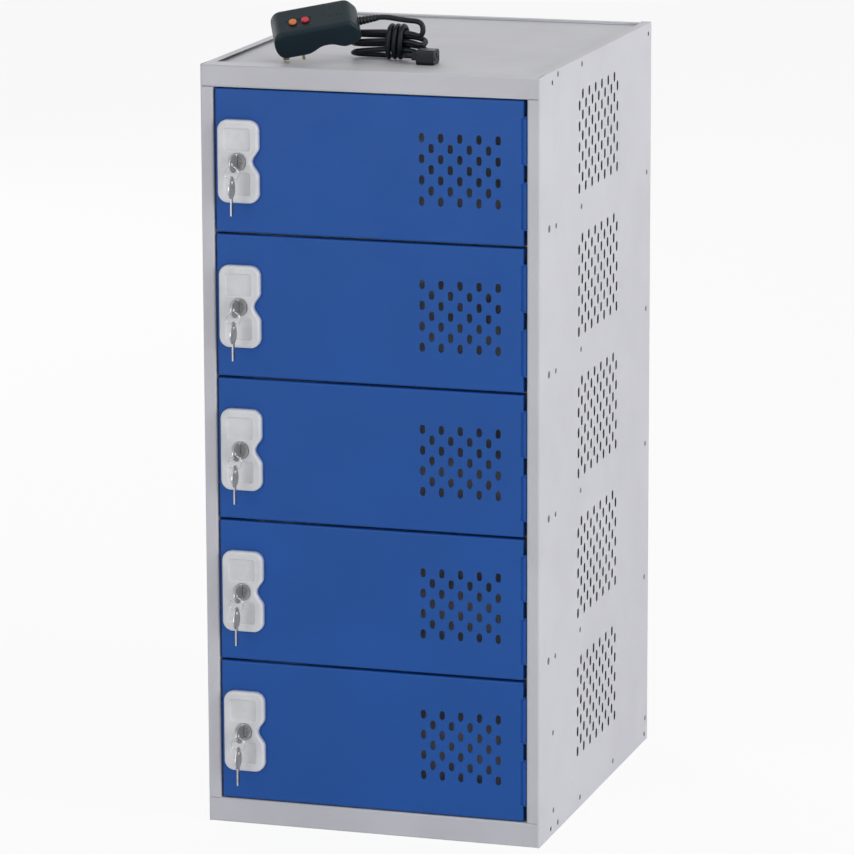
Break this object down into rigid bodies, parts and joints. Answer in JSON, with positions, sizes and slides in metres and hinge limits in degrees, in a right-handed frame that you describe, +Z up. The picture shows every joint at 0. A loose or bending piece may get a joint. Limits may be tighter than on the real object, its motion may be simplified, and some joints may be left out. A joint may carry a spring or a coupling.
{
  "type": "laptop charging locker",
  "caption": "Steel locker for charging laptops: stacked compartments with perforated hinged doors, cam locks, rear sockets and a mains lead with a safety plug.",
  "frame": {"origin": "middle of the carcass's base, on the floor", "axes": "+Z up, the doors face -Y and hang on the +X side"},
  "size_m": [0.45, 0.5943, 1.0758],
  "materials": {
    "carcass_paint": "satin",
    "door_paint": "satin",
    "plate_plastic": "semi gloss",
    "lock_metal": "polished",
    "key_metal": "brushed",
    "ring_wire": "bright",
    "hinge_steel": "satin",
    "outlet_plastic": "gloss",
    "inlet_plastic": "matte",
    "plug_plastic": "satin",
    "pin_brass": "polished",
    "test_plastic": "gloss",
    "reset_plastic": "gloss",
    "lead_rubber": "satin"
  },
  "bodies": {
    "carcass": {"left_side": "carcass_paint", "right_side": "carcass_paint", "top_rail": "carcass_paint", "bottom_rail": "carcass_paint", "top_panel": "carcass_paint", "floor_panel": "carcass_paint", "base_panel": "carcass_paint", "back_panel": "carcass_paint", "shelf_1": "carcass_paint", "shelf_2": "carcass_paint", "shelf_3": "carcass_paint", "shelf_4": "carcass_paint", "rear_partition": "carcass_paint", "socket_outlets": "outlet_plastic", "power_inlet": "inlet_plastic", "inlet_pins": "pin_brass", "hinge_pins": "hinge_steel", "plug_housing": "plug_plastic", "plug_pins": "pin_brass", "strain_relief": "lead_rubber", "lead_hank": "lead_rubber", "lead_connector": "lead_rubber"},
    "door_1_leaf": {"door_1": "door_paint", "lock_plate_1": "plate_plastic", "lock_barrel_1": "lock_metal"},
    "lock_1": {"lock_plug_1": "lock_metal", "key_1": "key_metal"},
    "ring_1": {"key_ring_1": "ring_wire"},
    "spare_1": {"spare_key_1": "key_metal"},
    "door_2_leaf": {"door_2": "door_paint", "lock_plate_2": "plate_plastic", "lock_barrel_2": "lock_metal"},
    "lock_2": {"lock_plug_2": "lock_metal", "key_2": "key_metal"},
    "ring_2": {"key_ring_2": "ring_wire"},
    "spare_2": {"spare_key_2": "key_metal"},
    "door_3_leaf": {"door_3": "door_paint", "lock_plate_3": "plate_plastic", "lock_barrel_3": "lock_metal"},
    "lock_3": {"lock_plug_3": "lock_metal", "key_3": "key_metal"},
    "ring_3": {"key_ring_3": "ring_wire"},
    "spare_3": {"spare_key_3": "key_metal"},
    "door_4_leaf": {"door_4": "door_paint", "lock_plate_4": "plate_plastic", "lock_barrel_4": "lock_metal"},
    "lock_4": {"lock_plug_4": "lock_metal", "key_4": "key_metal"},
    "ring_4": {"key_ring_4": "ring_wire"},
    "spare_4": {"spare_key_4": "key_metal"},
    "door_5_leaf": {"door_5": "door_paint", "lock_plate_5": "plate_plastic", "lock_barrel_5": "lock_metal"},
    "lock_5": {"lock_plug_5": "lock_metal", "key_5": "key_metal"},
    "ring_5": {"key_ring_5": "ring_wire"},
    "spare_5": {"spare_key_5": "key_metal"},
    "test_push": {"test_button": "test_plastic"},
    "reset_push": {"reset_button": "reset_plastic"}
  },
  "joints": [
    {"name": "door_1_hinge", "type": "hinge", "parent": "carcass", "child": "door_1_leaf", "pos_m": [0.2049, -0.2718, 0.8776], "axis": [0, 0, 1], "range_deg": [0, 90]},
    {"name": "lock_1_turn", "type": "hinge", "parent": "door_1_leaf", "child": "lock_1", "pos_m": [-0.173, -0.3063, 0.8776], "axis": [0, 1, 0], "range_deg": [0, 90]},
    {"name": "ring_1_hang", "type": "hinge", "parent": "lock_1", "child": "ring_1", "pos_m": [-0.173, -0.3063, 0.8714], "axis": [0, 1, 0], "range_deg": [-90, 0]},
    {"name": "spare_key_1_swing", "type": "hinge", "parent": "ring_1", "child": "spare_1", "pos_m": [-0.173, -0.3063, 0.85474], "axis": [-1, 0, 0], "range_deg": [-20, 60]},
    {"name": "door_2_hinge", "type": "hinge", "parent": "carcass", "child": "door_2_leaf", "pos_m": [0.2049, -0.2718, 0.6898], "axis": [0, 0, 1], "range_deg": [0, 90]},
    {"name": "lock_2_turn", "type": "hinge", "parent": "door_2_leaf", "child": "lock_2", "pos_m": [-0.173, -0.3063, 0.6898], "axis": [0, 1, 0], "range_deg": [0, 90]},
    {"name": "ring_2_hang", "type": "hinge", "parent": "lock_2", "child": "ring_2", "pos_m": [-0.173, -0.3063, 0.6836], "axis": [0, 1, 0], "range_deg": [-90, 0]},
    {"name": "spare_key_2_swing", "type": "hinge", "parent": "ring_2", "child": "spare_2", "pos_m": [-0.173, -0.3063, 0.66694], "axis": [-1, 0, 0], "range_deg": [-20, 60]},
    {"name": "door_3_hinge", "type": "hinge", "parent": "carcass", "child": "door_3_leaf", "pos_m": [0.2049, -0.2718, 0.502], "axis": [0, 0, 1], "range_deg": [0, 90]},
    {"name": "lock_3_turn", "type": "hinge", "parent": "door_3_leaf", "child": "lock_3", "pos_m": [-0.173, -0.3063, 0.502], "axis": [0, 1, 0], "range_deg": [0, 90]},
    {"name": "ring_3_hang", "type": "hinge", "parent": "lock_3", "child": "ring_3", "pos_m": [-0.173, -0.3063, 0.4958], "axis": [0, 1, 0], "range_deg": [-90, 0]},
    {"name": "spare_key_3_swing", "type": "hinge", "parent": "ring_3", "child": "spare_3", "pos_m": [-0.173, -0.3063, 0.47914], "axis": [-1, 0, 0], "range_deg": [-20, 60]},
    {"name": "door_4_hinge", "type": "hinge", "parent": "carcass", "child": "door_4_leaf", "pos_m": [0.2049, -0.2718, 0.3142], "axis": [0, 0, 1], "range_deg": [0, 90]},
    {"name": "lock_4_turn", "type": "hinge", "parent": "door_4_leaf", "child": "lock_4", "pos_m": [-0.173, -0.3063, 0.3142], "axis": [0, 1, 0], "range_deg": [0, 90]},
    {"name": "ring_4_hang", "type": "hinge", "parent": "lock_4", "child": "ring_4", "pos_m": [-0.173, -0.3063, 0.308], "axis": [0, 1, 0], "range_deg": [-90, 0]},
    {"name": "spare_key_4_swing", "type": "hinge", "parent": "ring_4", "child": "spare_4", "pos_m": [-0.173, -0.3063, 0.29134], "axis": [-1, 0, 0], "range_deg": [-20, 60]},
    {"name": "door_5_hinge", "type": "hinge", "parent": "carcass", "child": "door_5_leaf", "pos_m": [0.2049, -0.2718, 0.1264], "axis": [0, 0, 1], "range_deg": [0, 90]},
    {"name": "lock_5_turn", "type": "hinge", "parent": "door_5_leaf", "child": "lock_5", "pos_m": [-0.173, -0.3063, 0.1264], "axis": [0, 1, 0], "range_deg": [0, 90]},
    {"name": "ring_5_hang", "type": "hinge", "parent": "lock_5", "child": "ring_5", "pos_m": [-0.173, -0.3063, 0.1202], "axis": [0, 1, 0], "range_deg": [-90, 0]},
    {"name": "spare_key_5_swing", "type": "hinge", "parent": "ring_5", "child": "spare_5", "pos_m": [-0.173, -0.3063, 0.10354], "axis": [-1, 0, 0], "range_deg": [-20, 60]},
    {"name": "test_button_press", "type": "slide", "parent": "carcass", "child": "test_push", "axis": [-0.0165, 0.4936, -0.8695], "range_m": [0, 0.0015], "stiffness_N_per_m": 600, "springref_m": -0.001},
    {"name": "reset_button_press", "type": "slide", "parent": "carcass", "child": "reset_push", "axis": [-0.0165, 0.4936, -0.8695], "range_m": [0, 0.0015], "stiffness_N_per_m": 600, "springref_m": -0.001}
  ],
  "couplings": [
    {"joint": "ring_1_hang", "follows": "lock_1_turn", "ratio": -1},
    {"joint": "ring_2_hang", "follows": "lock_2_turn", "ratio": -1},
    {"joint": "ring_3_hang", "follows": "lock_3_turn", "ratio": -1},
    {"joint": "ring_4_hang", "follows": "lock_4_turn", "ratio": -1},
    {"joint": "ring_5_hang", "follows": "lock_5_turn", "ratio": -1}
  ]
}
